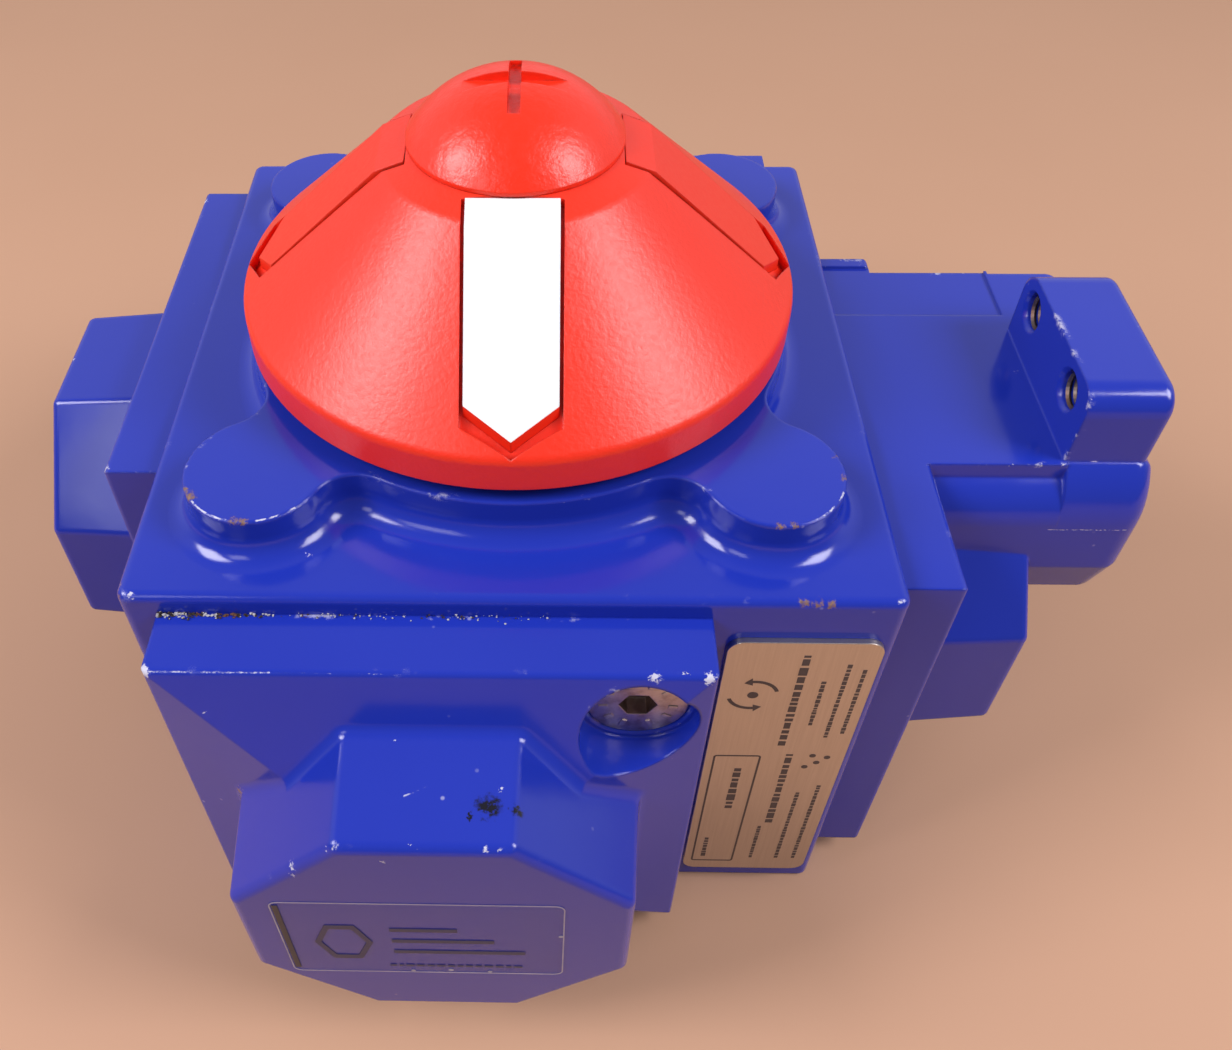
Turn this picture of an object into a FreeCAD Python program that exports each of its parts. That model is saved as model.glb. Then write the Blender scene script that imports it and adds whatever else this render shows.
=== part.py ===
import FreeCAD, Part
import math
import os

# Four-piston, double-acting, quarter-turn pneumatic actuator.
#
# Frame: +Z up along the output shaft, origin where the shaft axis meets the
# valve mounting face. The front cover faces -Y, the manifold cover faces +X.
# The four pistons lie in a pinwheel: everything that repeats is modelled once,
# on the front (-Y) side, and turned about the shaft axis in quarter turns.

Vector = FreeCAD.Vector
UP = Vector(0, 0, 1)
OUTWARD = Vector(0, -1, 0)

# ---- driving dimensions, millimetres ----

# pinion and racks
gear_module = 1.125
pinion_teeth = 16
pressure_angle = math.radians(25)
backlash = 0.06
pitch_radius = gear_module * pinion_teeth / 2
tooth_pitch = math.pi * gear_module
pinion_tip_radius = pitch_radius + gear_module
pinion_root_radius = pitch_radius - 1.25 * gear_module

# body
body_width = 92.0
body_height = 72.0
body_half = body_width / 2
edge_radius = 1.5

# cylinders: each bore's axis passes the shaft axis at the pitch radius
bore_offset = pitch_radius
bore_height = 36.5
bore_radius = 22.5
bore_end = 19.5
chamber_half = 20.0
chamber_bottom = 24.0
chamber_top = 56.0

# top flange: a round hub with four lobes on the diagonals
flange_top = 78.0
hub_radius = 36.4
lobe_reach = 31.0
lobe_radius = 8.7
lobe_blend = 5.0
flange_foot_radius = 3.0
flange_edge_radius = 0.3

# end covers
cover_side = 65.0
cover_edge = 8.0
cover_slope = math.radians(20)
boss_face = 24.7
boss_root_flats = 49.5
boss_face_flats = 47.5
boss_root_depth = 11.0
cover_hollow_radius = 20.0
cover_hollow_depth = 20.0
cover_seal_radius = 25.2
cover_seal_wire = 2.4

# cover screws: M6 countersunk, at two opposite corners of the cover
screw_reach = 24.0
screw_floor = 6.5
screw_pocket_radius = 7.1
screw_head_radius = 6.0
screw_radius = 3.0
screw_length = 20.0
screw_key = 4.0
screw_tap_radius = 3.05
screw_tap_depth = 15.0

# manifold block on the +X cover, in the cover's own front-facing frame
manifold_turns = 1
manifold_end = 84.0
manifold_deck = 69.0
manifold_bottom = 44.0
manifold_rear = 20.5
manifold_step_front = -21.0
manifold_step_drop = 2.5
manifold_bulge = -24.4
manifold_bulge_top = 60.0
manifold_bulge_bottom = 52.0
manifold_belly = -21.5
deck_step_start = 9.7
deck_step_depth = 0.4
lug_inner = 71.6
lug_outer = 82.8
lug_top = 80.2
lug_front = -20.3
lug_rear = 6.6
lug_corner = 3.6
lug_hole_height = 75.8
lug_hole_places = (-14.0, 2.0)
lug_hole_radius = 2.5
lug_hole_depth = 9.0
port_places = (-15.0, 9.0)
port_height = 56.0
port_radius = 5.9
port_depth = 13.0
gallery_radius = 2.5
gallery_across = 16.6
gallery_height = 52.0

# shaft, bushes and seals
shaft_bottom = 3.2
lower_journal_radius = 12.0
lower_journal_top = 23.0
core_radius = 7.4
teeth_bottom = 27.0
teeth_top = 46.0
collar_radius = 11.0
collar_bottom = 53.0
collar_top = 55.5
upper_journal_radius = 9.0
upper_journal_top = 82.5
shaft_end_radius = 8.0
shaft_end_flats = 12.0
shaft_top = 96.5
running_gap = 0.05
drive_square = 11.0
drive_depth = 12.0
bush_wall = 2.0
lower_bush_bottom = 3.3
lower_bush_top = 14.0
upper_bush_top = 69.0
lower_seal_height = 18.15
lower_seal_radius = 11.1
lower_seal_wire = 1.9
lower_groove_radius = 10.1
lower_groove_half = 1.15
upper_seal_height = 72.05
upper_seal_radius = 8.15
upper_seal_wire = 1.8
upper_groove_radius = 7.2
upper_groove_half = 1.05
thrust_washer_radius = 14.0
thrust_washer_thickness = 1.45
shaft_tap_bottom = 84.0
retaining_groove_radius = 8.4
retaining_groove_bottom = 79.55
retaining_groove_top = 80.85
retaining_ring_radius = 10.6
retaining_eye_reach = 11.6
retaining_eye_radius = 1.7
retaining_eye_hole = 0.8
retaining_gap_half = 1.1

# pistons
piston_inner = 20.0
piston_thickness = 11.0
piston_radius = 22.2
rack_back = 8.4
rack_tip = 18.5
rack_face_width = 8.0
rack_mid_gap = 0.5
piston_dish_radius = 13.0
piston_dish_depth = 4.0
seal_near = piston_inner + 6.4
seal_far = seal_near + 3.0
seal_floor_radius = 20.2
band_near = piston_inner + 1.4
band_far = band_near + 3.6
band_floor_radius = 21.1

# indicator
rim_radius = 36.4
rim_bottom = 80.3
rim_top = 84.9
rim_edge_radius = 1.6
shoulder_radius = 17.0
shoulder_height = 103.0
cap_radius = 13.4
cap_seat = 104.4
cap_rim = 0.5
cap_top = 112.1
cone_wall = 2.6
slot_floor_depth = 1.5
slot_half_width = 5.9
slot_shoulder = 33.3
slot_tip = 36.2
insert_half_width = 5.45
insert_sink = 0.25
insert_shoulder = 31.6
insert_tip = 34.6
indicator_hub_radius = 11.0
indicator_hub_bottom = 84.5
indicator_web_bottom = 97.0
indicator_web_top = 100.0
indicator_screw_head = 5.0
indicator_screw_height = 3.4
indicator_screw_length = 14.0
indicator_well_radius = 6.5
cap_snap_outer = 6.4
cap_snap_inner = 5.5
cap_snap_length = 3.2
cap_slot_long = (0.75, 6.2, 1.9)
cap_slot_wide = (8.0, 1.3, 1.3)

# valve side: recess and two bolt circles
recess_radius = 17.5
recess_depth = 3.0
wide_circle = 50.0
wide_hole_radius = 2.5
wide_hole_depth = 11.0
narrow_circle = 42.0
narrow_hole_radius = 2.1
narrow_hole_depth = 9.0

# nameplate and label
nameplate_left = 25.7
nameplate_right = 44.3
nameplate_bottom = 4.3
nameplate_top = 65.3
nameplate_thickness = 0.8
nameplate_corner = 2.0
label_left = -28.2
label_right = 6.6
label_bottom = 25.0
label_top = 46.6
label_thickness = 0.12


# ---- helpers ----

def box(low, high):
    """Box between two opposite corners."""
    size = [b - a for a, b in zip(low, high)]
    return Part.makeBox(size[0], size[1], size[2], Vector(*low))


def rod(radius, start, end):
    """Cylinder from one point to another."""
    start = Vector(*start)
    run = Vector(*end) - start
    return Part.makeCylinder(radius, run.Length, start, run)


def post(radius, bottom, top):
    """Cylinder on the shaft axis."""
    return rod(radius, (0, 0, bottom), (0, 0, top))


def ring(outer, inner, bottom, top):
    """Flat ring on the shaft axis."""
    return post(outer, bottom, top).cut(post(inner, bottom - 1, top + 1))


def spun(points):
    """Solid turned about the shaft axis from (radius, height) points."""
    corners = [Vector(r, 0, z) for r, z in points]
    face = Part.Face(Part.makePolygon(corners + corners[:1]))
    return face.revolve(Vector(0, 0, 0), UP, 360)


def quarter(shape, turns):
    """Copy turned about the shaft axis by quarter turns."""
    copy = shape.copy()
    copy.rotate(Vector(0, 0, 0), UP, 90 * turns)
    return copy


def round_edges(shape, radius, wanted):
    """Fillet the edges for which wanted(edge) is true."""
    return shape.makeFillet(radius, [edge for edge in shape.Edges if wanted(edge)])


def is_vertical(edge):
    ends = [vertex.Point for vertex in edge.Vertexes]
    return len(ends) == 2 and (ends[0] - ends[1]).cross(UP).Length < 1e-6


def lies_at(edge, axis, value):
    """True if the whole edge lies in the plane axis = value."""
    bounds = edge.BoundBox
    low = getattr(bounds, axis + "Min")
    high = getattr(bounds, axis + "Max")
    return abs(low - value) < 1e-3 and abs(high - value) < 1e-3


def frustum(near, far):
    """Solid with flat sides between two outlines that have the same number of corners."""
    faces = [Part.Face(Part.makePolygon(near + near[:1])), Part.Face(Part.makePolygon(far + far[:1]))]
    for index in range(len(near)):
        after = (index + 1) % len(near)
        side = [near[index], near[after], far[after], far[index], near[index]]
        faces.append(Part.Face(Part.makePolygon(side)))
    shell = Part.makeShell(faces)
    shell.sewShape()
    return Part.makeSolid(shell).removeSplitter()


def polar(radius, angle, height=0.0):
    return Vector(radius * math.cos(angle), radius * math.sin(angle), height)


def export(name, shape):
    shape.exportStep("parts/" + name + ".step")


# ---- body ----

def flange_outline(height):
    """Hub and lobe outline: hub arcs and lobe arcs joined by tangent hollow arcs."""
    lobe_distance = lobe_reach * math.sqrt(2)
    near = hub_radius + lobe_blend
    far = lobe_radius + lobe_blend
    cosine = (near ** 2 + lobe_distance ** 2 - far ** 2) / (2 * near * lobe_distance)
    swing = math.acos(cosine)
    edges = []
    for index in range(4):
        lobe_angle = math.radians(45 + 90 * index)
        lobe_center = polar(lobe_distance, lobe_angle, height)
        before = polar(near, lobe_angle - swing, height)
        after = polar(near, lobe_angle + swing, height)
        hub_before = polar(hub_radius, lobe_angle - swing, height)
        hub_after = polar(hub_radius, lobe_angle + swing, height)
        lobe_before = lobe_center + (before - lobe_center).normalize() * lobe_radius
        lobe_after = lobe_center + (after - lobe_center).normalize() * lobe_radius
        lobe_far = polar(lobe_distance + lobe_radius, lobe_angle, height)
        hollow_before = before + ((hub_before + lobe_before) * 0.5 - before).normalize() * lobe_blend
        hollow_after = after + ((hub_after + lobe_after) * 0.5 - after).normalize() * lobe_blend
        next_angle = lobe_angle + math.pi / 2
        hub_middle = polar(hub_radius, lobe_angle + math.pi / 4, height)
        hub_next = polar(hub_radius, next_angle - swing, height)
        edges.append(Part.Arc(hub_before, hollow_before, lobe_before).toShape())
        edges.append(Part.Arc(lobe_before, lobe_far, lobe_after).toShape())
        edges.append(Part.Arc(lobe_after, hollow_after, hub_after).toShape())
        edges.append(Part.Arc(hub_after, hub_middle, hub_next).toShape())
    return Part.Wire(edges)


def bolt_circle(diameter, radius, depth, first_angle):
    holes = []
    for index in range(4):
        center = polar(diameter / 2, math.radians(first_angle + 90 * index))
        holes.append(rod(radius, (center.x, center.y, -1), (center.x, center.y, depth)))
    return holes


def cover_screw_places(slant):
    """Screw axes in a front-facing cover's frame, as (x, z), on one of its two diagonals.

    A plain cover has slant 1. The manifold covers one of those corners, so its
    cover takes the other diagonal, slant -1.
    """
    return [(-bore_offset + slant * side * screw_reach, bore_height + side * screw_reach)
            for side in (1, -1)]


def make_body():
    block = box((-body_half, -body_half, 0), (body_half, body_half, body_height))
    block = round_edges(block, edge_radius, is_vertical)
    block = round_edges(block, edge_radius * 0.7, lambda edge: lies_at(edge, "Z", body_height))
    block = round_edges(block, edge_radius * 0.5, lambda edge: lies_at(edge, "Z", 0))
    sunk = 1.0
    outline = Part.Face(flange_outline(body_height - sunk))
    block = block.fuse(outline.extrude(UP * (flange_top - body_height + sunk)))
    reach = lobe_reach + lobe_radius + 1.5
    block = round_edges(block, flange_foot_radius, lambda edge: (
        lies_at(edge, "Z", body_height) and edge.Curve.TypeId == "Part::GeomCircle"
        and max(abs(edge.BoundBox.XMax), abs(edge.BoundBox.XMin)) < reach))
    block = round_edges(block, flange_edge_radius, lambda edge: lies_at(edge, "Z", flange_top))
    cuts = [
        box((-chamber_half, -chamber_half, chamber_bottom), (chamber_half, chamber_half, chamber_top)),
        post(recess_radius, -1, recess_depth),
        post(lower_journal_radius + bush_wall, 0, lower_bush_top),
        post(lower_journal_radius + 0.15, 0, chamber_bottom + 1),
        post(upper_journal_radius + bush_wall, chamber_top - 1, upper_bush_top),
        post(upper_journal_radius + 0.1, chamber_top, flange_top + 1),
        rod(gallery_radius, (body_half + 1, gallery_across, gallery_height),
            (bore_end, gallery_across, gallery_height)),
    ]
    for turns in range(4):
        cuts.append(quarter(rod(bore_radius, (-bore_offset, -body_half - 1, bore_height),
                                (-bore_offset, -bore_end, bore_height)), turns))
        for x, z in cover_screw_places(-1 if turns == manifold_turns else 1):
            tap_end = -body_half + screw_tap_depth
            cuts.append(quarter(rod(screw_tap_radius, (x, -body_half - 1, z), (x, tap_end, z)), turns))
    cuts += bolt_circle(wide_circle, wide_hole_radius, wide_hole_depth, 45)
    cuts += bolt_circle(narrow_circle, narrow_hole_radius, narrow_hole_depth, 0)
    return block.cut(cuts)


# ---- covers, modelled on the front side ----

def cover_polygon(sides, flats, depth, turn):
    """Corners of a regular polygon about the bore axis, this far outside the body face."""
    radius = flats / 2 / math.cos(math.pi / sides)
    corners = []
    for index in range(sides):
        angle = turn + 2 * math.pi * index / sides
        corners.append(Vector(-bore_offset + radius * math.cos(angle), -body_half - depth,
                              bore_height + radius * math.sin(angle)))
    return corners


def cover_plate():
    """Square plate whose face rises from its edges as a low hipped pyramid."""
    crown_side = 20.0
    rise = (cover_side - crown_side) / 2 * math.tan(cover_slope)
    square_turn = math.pi / 4
    base = frustum(cover_polygon(4, cover_side, 0, square_turn),
                   cover_polygon(4, cover_side, cover_edge, square_turn))
    hips = frustum(cover_polygon(4, cover_side, cover_edge, square_turn),
                   cover_polygon(4, crown_side, cover_edge + rise, square_turn))
    plate = base.fuse(hips).removeSplitter()
    return round_edges(plate, 0.8, lambda edge: lies_at(edge, "Y", -body_half - cover_edge))


def cover_boss():
    """Octagonal boss with a little draft, its face edges rounded."""
    draft = (boss_root_flats - boss_face_flats) / (boss_face - boss_root_depth)
    foot = 2.0
    foot_flats = boss_face_flats + draft * (boss_face - foot)
    octagon_turn = math.pi / 8
    boss = frustum(cover_polygon(8, foot_flats, foot, octagon_turn),
                   cover_polygon(8, boss_face_flats, boss_face, octagon_turn))
    face_y = -body_half - boss_face
    boss = round_edges(boss, 1.4, lambda edge: abs(edge.BoundBox.YMin - face_y) < 1e-3
                       and edge.BoundBox.YLength > 5)
    return round_edges(boss, 1.3, lambda edge: lies_at(edge, "Y", face_y))


def screw_cuts(x, z):
    """Pocket, countersink and clearance hole of one cover screw."""
    floor_y = -body_half - screw_floor
    hole_radius = screw_radius + 0.3
    mouth_radius = screw_head_radius + 0.55
    pocket = rod(screw_pocket_radius, (x, floor_y, z), (x, -body_half - boss_face, z))
    hole = rod(hole_radius, (x, -body_half + 1, z), (x, floor_y, z))
    sink = Part.makeCone(hole_radius, mouth_radius, mouth_radius - hole_radius,
                         Vector(x, floor_y + mouth_radius - hole_radius, z), OUTWARD)
    return [pocket, hole, sink]


def cover_inside_cuts():
    """Piston hollow and face seal groove."""
    face_y = -body_half
    hollow = rod(cover_hollow_radius, (-bore_offset, face_y + 1, bore_height),
                 (-bore_offset, face_y - cover_hollow_depth, bore_height))
    groove_half = cover_seal_wire / 2 + 0.4
    groove_floor = face_y - cover_seal_wire - 0.1
    outer = rod(cover_seal_radius + groove_half, (-bore_offset, face_y + 1, bore_height),
                (-bore_offset, groove_floor, bore_height))
    inner = rod(cover_seal_radius - groove_half, (-bore_offset, face_y + 2, bore_height),
                (-bore_offset, groove_floor - 1, bore_height))
    return [hollow, outer.cut(inner)]


def at_boss_root(edge):
    """True for the edges where the boss meets the plate's slopes."""
    bounds = edge.BoundBox
    inside = (boss_root_flats / 2 + 3)
    depth_low = -bounds.YMax - body_half
    depth_high = -bounds.YMin - body_half
    center = edge.CenterOfMass
    near = max(abs(center.x + bore_offset), abs(center.z - bore_height)) < inside
    return near and depth_low > cover_edge + 1 and depth_high < cover_edge + 7


def make_cover_blank():
    blank = cover_plate().fuse(cover_boss())
    return round_edges(blank, 1.8, at_boss_root)


def finish_cover(blank, slant):
    cuts = cover_inside_cuts()
    for x, z in cover_screw_places(slant):
        cuts += screw_cuts(x, z)
    return blank.cut(cuts)


def make_cover_seal():
    return Part.makeTorus(cover_seal_radius, cover_seal_wire / 2,
                          Vector(-bore_offset, -body_half - cover_seal_wire / 2, bore_height), OUTWARD)


def hexagon_prism(key, center, depth, direction):
    """Hexagonal prism of a key size across flats."""
    corner = key / math.sqrt(3)
    points = []
    for index in range(6):
        angle = math.radians(60 * index)
        points.append(center + Vector(corner * math.cos(angle), 0, corner * math.sin(angle)))
    return Part.Face(Part.makePolygon(points + points[:1])).extrude(direction * depth)


def make_cover_screw(x, z):
    """Countersunk socket screw with a 90 degree head."""
    head_y = -body_half - screw_floor + 0.1
    rim = 0.4
    cone = screw_head_radius - screw_radius
    disc = rod(screw_head_radius, (x, head_y, z), (x, head_y + rim, z))
    head = Part.makeCone(screw_head_radius, screw_radius, cone, Vector(x, head_y + rim, z), Vector(0, 1, 0))
    shank = rod(screw_radius, (x, head_y + rim + cone, z), (x, head_y + screw_length, z))
    screw = disc.fuse([head, shank]).removeSplitter()
    screw = round_edges(screw, 0.25, lambda edge: lies_at(edge, "Y", head_y))
    return screw.cut(hexagon_prism(screw_key, Vector(x, head_y, z), 2.2, Vector(0, 1, 0)))


def make_cover_screws(slant):
    return Part.makeCompound([make_cover_screw(x, z) for x, z in cover_screw_places(slant)])


# ---- manifold cover, modelled as if it faced the front ----

def manifold_profile(depth, top_front, top_drop):
    """Side outline of the manifold: deck, bulged front, cut-back belly, plain rear."""
    y = -body_half - depth
    deck_front = Vector(top_front, y, manifold_deck)
    step = Vector(top_front, y, manifold_deck - top_drop)
    bulge_top = Vector(manifold_bulge, y, manifold_bulge_top)
    bulge_middle = (step + bulge_top) * 0.5 + Vector(-0.9, 0, 0.6)
    bulge_bottom = Vector(manifold_bulge, y, manifold_bulge_bottom)
    belly = Vector(manifold_belly, y, manifold_bottom)
    rear_low = Vector(manifold_rear, y, manifold_bottom)
    rear_high = Vector(manifold_rear, y, manifold_deck)
    edges = [Part.LineSegment(deck_front, step).toShape()] if top_drop else []
    edges += [
        Part.Arc(step, bulge_middle, bulge_top).toShape(),
        Part.LineSegment(bulge_top, bulge_bottom).toShape(),
        Part.LineSegment(bulge_bottom, belly).toShape(),
        Part.LineSegment(belly, rear_low).toShape(),
        Part.LineSegment(rear_low, rear_high).toShape(),
        Part.LineSegment(rear_high, deck_front).toShape(),
    ]
    return Part.Face(Part.Wire(edges))


def manifold_block():
    """Inner stretch with the stepped front, outer stretch that carries the lug."""
    start = 4.0
    split = lug_inner - body_half + 0.4
    end = manifold_end - body_half
    inner = manifold_profile(start, manifold_step_front, manifold_step_drop)
    inner = inner.extrude(OUTWARD * (split - start))
    outer = manifold_profile(split, lug_front, 0).extrude(OUTWARD * (end - split))
    outer = round_edges(outer, 1.0, lambda edge: edge.BoundBox.YLength > 5)
    end_y = -manifold_end
    outer = round_edges(outer, 3.0, lambda edge: lies_at(edge, "Y", end_y))
    return inner.fuse(outer)


def manifold_lug():
    """Upright lug across the outer end of the deck, top corners rounded."""
    foot = manifold_deck - 4
    lug = box((lug_front, -lug_outer, foot), (lug_rear, -lug_inner, lug_top))
    lug = round_edges(lug, lug_corner, lambda edge: lies_at(edge, "Z", lug_top)
                      and edge.BoundBox.YLength > 5)
    outer_y = -lug_outer
    return round_edges(lug, 1.4, lambda edge: lies_at(edge, "Y", outer_y)
                       and edge.BoundBox.ZMax > foot + 1)


def manifold_cuts():
    """Lug holes, end ports, deck step and the air galleries behind the ports."""
    cuts = [box((deck_step_start, -lug_inner, manifold_deck - deck_step_depth),
                (manifold_rear + 1, -body_half - 0.5, manifold_deck + 1))]
    chamfer = 0.5
    for x in lug_hole_places:
        mouth = (x, -lug_inner, lug_hole_height)
        cuts.append(rod(lug_hole_radius, mouth, (x, -lug_inner - lug_hole_depth, lug_hole_height)))
        cuts.append(Part.makeCone(lug_hole_radius + chamfer, lug_hole_radius, chamfer,
                                  Vector(*mouth), OUTWARD))
    port_floor = -manifold_end + port_depth
    for x in port_places:
        cuts.append(rod(port_radius, (x, -manifold_end - 1, port_height), (x, port_floor, port_height)))
    near_port, far_port = port_places
    mid_y = -body_half - 14
    cuts.append(rod(gallery_radius, (near_port, port_floor, port_height), (near_port + 3, mid_y, 50)))
    cuts.append(rod(gallery_radius, (far_port, port_floor, port_height), (far_port, mid_y, port_height)))
    elbow = (gallery_across, -body_half - 6, gallery_height)
    cuts.append(rod(gallery_radius, (far_port, mid_y, port_height), elbow))
    cuts.append(rod(gallery_radius, elbow, (gallery_across, -body_half + 1, gallery_height)))
    cuts.append(Part.makeSphere(gallery_radius, Vector(far_port, mid_y, port_height)))
    cuts.append(Part.makeSphere(gallery_radius, Vector(*elbow)))
    return cuts


def make_manifold_cover(blank):
    solid = blank.fuse([manifold_block(), manifold_lug()]).removeSplitter()
    return finish_cover(solid, -1).cut(manifold_cuts())


# ---- pinion shaft ----

def involute_angle(radius):
    base_radius = pitch_radius * math.cos(pressure_angle)
    roll = math.acos(base_radius / radius)
    return math.tan(roll) - roll


def pinion_outline(height):
    """Closed outline of the toothed stretch, a tooth on each row axis."""
    base_radius = pitch_radius * math.cos(pressure_angle)
    base_half = (math.pi / 2 / pinion_teeth + involute_angle(pitch_radius)
                 - backlash / pitch_radius)
    steps = 6
    radii = [base_radius + (pinion_tip_radius - base_radius) * k / steps for k in range(steps + 1)]
    tooth_angle = 2 * math.pi / pinion_teeth
    edges = []
    for tooth in range(pinion_teeth):
        middle = tooth * tooth_angle
        rising = [polar(r, middle - base_half + involute_angle(r), height) for r in radii]
        falling = [polar(r, middle + base_half - involute_angle(r), height) for r in reversed(radii)]
        root_before = polar(pinion_root_radius, middle - base_half, height)
        root_after = polar(pinion_root_radius, middle + base_half, height)
        root_middle = polar(pinion_root_radius, middle + tooth_angle / 2, height)
        root_next = polar(pinion_root_radius, middle + tooth_angle - base_half, height)
        up_flank = Part.BSplineCurve()
        up_flank.interpolate(rising)
        down_flank = Part.BSplineCurve()
        down_flank.interpolate(falling)
        tip = polar(pinion_tip_radius, middle, height)
        edges.append(Part.LineSegment(root_before, rising[0]).toShape())
        edges.append(up_flank.toShape())
        edges.append(Part.Arc(rising[-1], tip, falling[0]).toShape())
        edges.append(down_flank.toShape())
        edges.append(Part.LineSegment(falling[-1], root_after).toShape())
        edges.append(Part.Arc(root_after, root_middle, root_next).toShape())
    return Part.Wire(edges)


def flatted_post(radius, flats, bottom, top):
    """Round bar on the shaft axis with two flats facing front and rear."""
    slab = box((-radius - 1, -flats / 2, bottom), (radius + 1, flats / 2, top))
    return post(radius, bottom, top).common(slab)


def make_drive_pinion():
    teeth = Part.Face(pinion_outline(teeth_bottom)).extrude(UP * (teeth_top - teeth_bottom))
    lower = post(lower_journal_radius, shaft_bottom, lower_journal_top)
    lower = round_edges(lower, 0.6, lambda edge: lies_at(edge, "Z", shaft_bottom))
    pinion = lower.fuse([
        post(core_radius, lower_journal_top - 1, collar_bottom + 1),
        teeth,
        post(collar_radius, collar_bottom, collar_top),
        post(upper_journal_radius, collar_top - 1, upper_journal_top),
        flatted_post(shaft_end_radius, shaft_end_flats, upper_journal_top - 1, shaft_top),
    ])
    socket_top = shaft_bottom + drive_depth
    half = drive_square / 2
    square = box((-half, -half, shaft_bottom - 1), (half, half, socket_top))
    turned_square = square.copy()
    turned_square.rotate(Vector(0, 0, 0), UP, 45)
    cuts = [
        square,
        turned_square,
        ring(lower_journal_radius + 1, lower_groove_radius, lower_seal_height - lower_groove_half,
             lower_seal_height + lower_groove_half),
        ring(upper_journal_radius + 1, upper_groove_radius, upper_seal_height - upper_groove_half,
             upper_seal_height + upper_groove_half),
        ring(upper_journal_radius + 1, retaining_groove_radius, retaining_groove_bottom,
             retaining_groove_top),
        post(screw_tap_radius, shaft_tap_bottom, shaft_top + 1),
    ]
    return pinion.cut(cuts)


def make_retaining_ring():
    """Spring ring with a gap between its two eyes."""
    bottom = retaining_groove_bottom + 0.05
    top = retaining_groove_top - 0.05
    eye_spread = math.radians(14)
    body = ring(retaining_ring_radius, retaining_groove_radius + 0.05, bottom, top)
    eyes = []
    holes = []
    for side in (-1, 1):
        center = polar(retaining_eye_reach, math.pi / 2 + side * eye_spread)
        eyes.append(rod(retaining_eye_radius, (center.x, center.y, bottom), (center.x, center.y, top)))
        holes.append(rod(retaining_eye_hole, (center.x, center.y, bottom - 1), (center.x, center.y, top + 1)))
    gap = box((-retaining_gap_half, 0, bottom - 1), (retaining_gap_half, 20, top + 1))
    keep_clear = post(retaining_groove_radius + 0.05, bottom - 1, top + 1)
    return body.fuse(eyes).cut(holes + [gap, keep_clear])


# ---- pistons, modelled on the front side ----

def rack_outline(height):
    """Rack seen from above: plain bar from the piston, then straight-flanked teeth."""
    tip_x = -pitch_radius + gear_module
    root_x = -pitch_radius - 1.25 * gear_module
    half_pitch_width = tooth_pitch / 4 - backlash
    tip_half = half_pitch_width - gear_module * math.tan(pressure_angle)
    root_half = half_pitch_width + 1.25 * gear_module * math.tan(pressure_angle)
    back_x = -pitch_radius - rack_back
    inside_piston = -piston_inner - 1
    points = [Vector(back_x, inside_piston, height), Vector(root_x, inside_piston, height)]
    for index in range(-2, 5):
        middle = (index + 0.5) * tooth_pitch
        points.append(Vector(root_x, middle - root_half, height))
        points.append(Vector(tip_x, middle - tip_half, height))
        points.append(Vector(tip_x, middle + tip_half, height))
        points.append(Vector(root_x, middle + root_half, height))
    points.append(Vector(root_x, rack_tip, height))
    points.append(Vector(back_x, rack_tip, height))
    return Part.makePolygon(points + points[:1])


def bore_ring(outer, inner, near, far):
    """Ring about the bore axis between two distances from the shaft axis."""
    tube = rod(outer, (-bore_offset, -near, bore_height), (-bore_offset, -far, bore_height))
    return tube.cut(rod(inner, (-bore_offset, -near + 1, bore_height), (-bore_offset, -far - 1, bore_height)))


def make_piston(level):
    """Piston with its rack above (level 1) or below (level -1) the bore axis."""
    far = piston_inner + piston_thickness
    disc = rod(piston_radius, (-bore_offset, -piston_inner, bore_height), (-bore_offset, -far, bore_height))
    disc = disc.makeChamfer(0.8, [edge for edge in disc.Edges if edge.Closed])
    near_side = bore_height + level * rack_mid_gap
    far_side = near_side + level * rack_face_width
    rack = Part.Face(rack_outline(min(near_side, far_side))).extrude(UP * rack_face_width)
    cuts = [
        rod(piston_dish_radius, (-bore_offset, -far - 1, bore_height),
            (-bore_offset, -far + piston_dish_depth, bore_height)),
        bore_ring(bore_radius + 1, seal_floor_radius, seal_near - 0.1, seal_far + 0.1),
        bore_ring(bore_radius + 1, band_floor_radius, band_near - 0.1, band_far + 0.1),
    ]
    return disc.fuse(rack).removeSplitter().cut(cuts)


def make_piston_seal():
    seal = bore_ring(bore_radius - 2 * running_gap, seal_floor_radius + 0.1, seal_near, seal_far)
    return seal.makeChamfer(0.5, [edge for edge in seal.Edges if edge.Closed
                                  and edge.BoundBox.XLength > 2 * piston_radius - 1])


def make_guide_band():
    band = bore_ring(bore_radius - running_gap, band_floor_radius + 0.1, band_near, band_far)
    split = box((-bore_offset - 0.5, -band_far - 1, bore_height), (-bore_offset + 0.5, -band_near + 1,
                                                                    bore_height + bore_radius + 1))
    return band.cut(split)


# ---- indicator ----

cone_profile = [
    (rim_radius, rim_top),
    (shoulder_radius, shoulder_height),
    (cap_radius, cap_seat),
]


def sunk_line(depth):
    """The cone's slope and shoulder as (radius, height) points, sunk by depth along their normals."""
    (rim_r, rim_z), (bend_r, bend_z), (seat_r, seat_z) = cone_profile
    slope = math.atan2(bend_z - rim_z, rim_r - bend_r)
    shoulder = math.atan2(seat_z - bend_z, bend_r - seat_r)
    low = (rim_r + 4 * math.cos(slope) - depth * math.sin(slope),
           rim_z - 4 * math.sin(slope) - depth * math.cos(slope))
    miter = (slope + shoulder) / 2
    reach = depth / math.cos((slope - shoulder) / 2)
    bend = (bend_r - reach * math.sin(miter), bend_z - reach * math.cos(miter))
    inner_r = 8.0
    high_z = seat_z + (seat_r - inner_r) * math.tan(shoulder) - depth / math.cos(shoulder)
    return [low, bend, (inner_r, high_z)]


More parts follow.
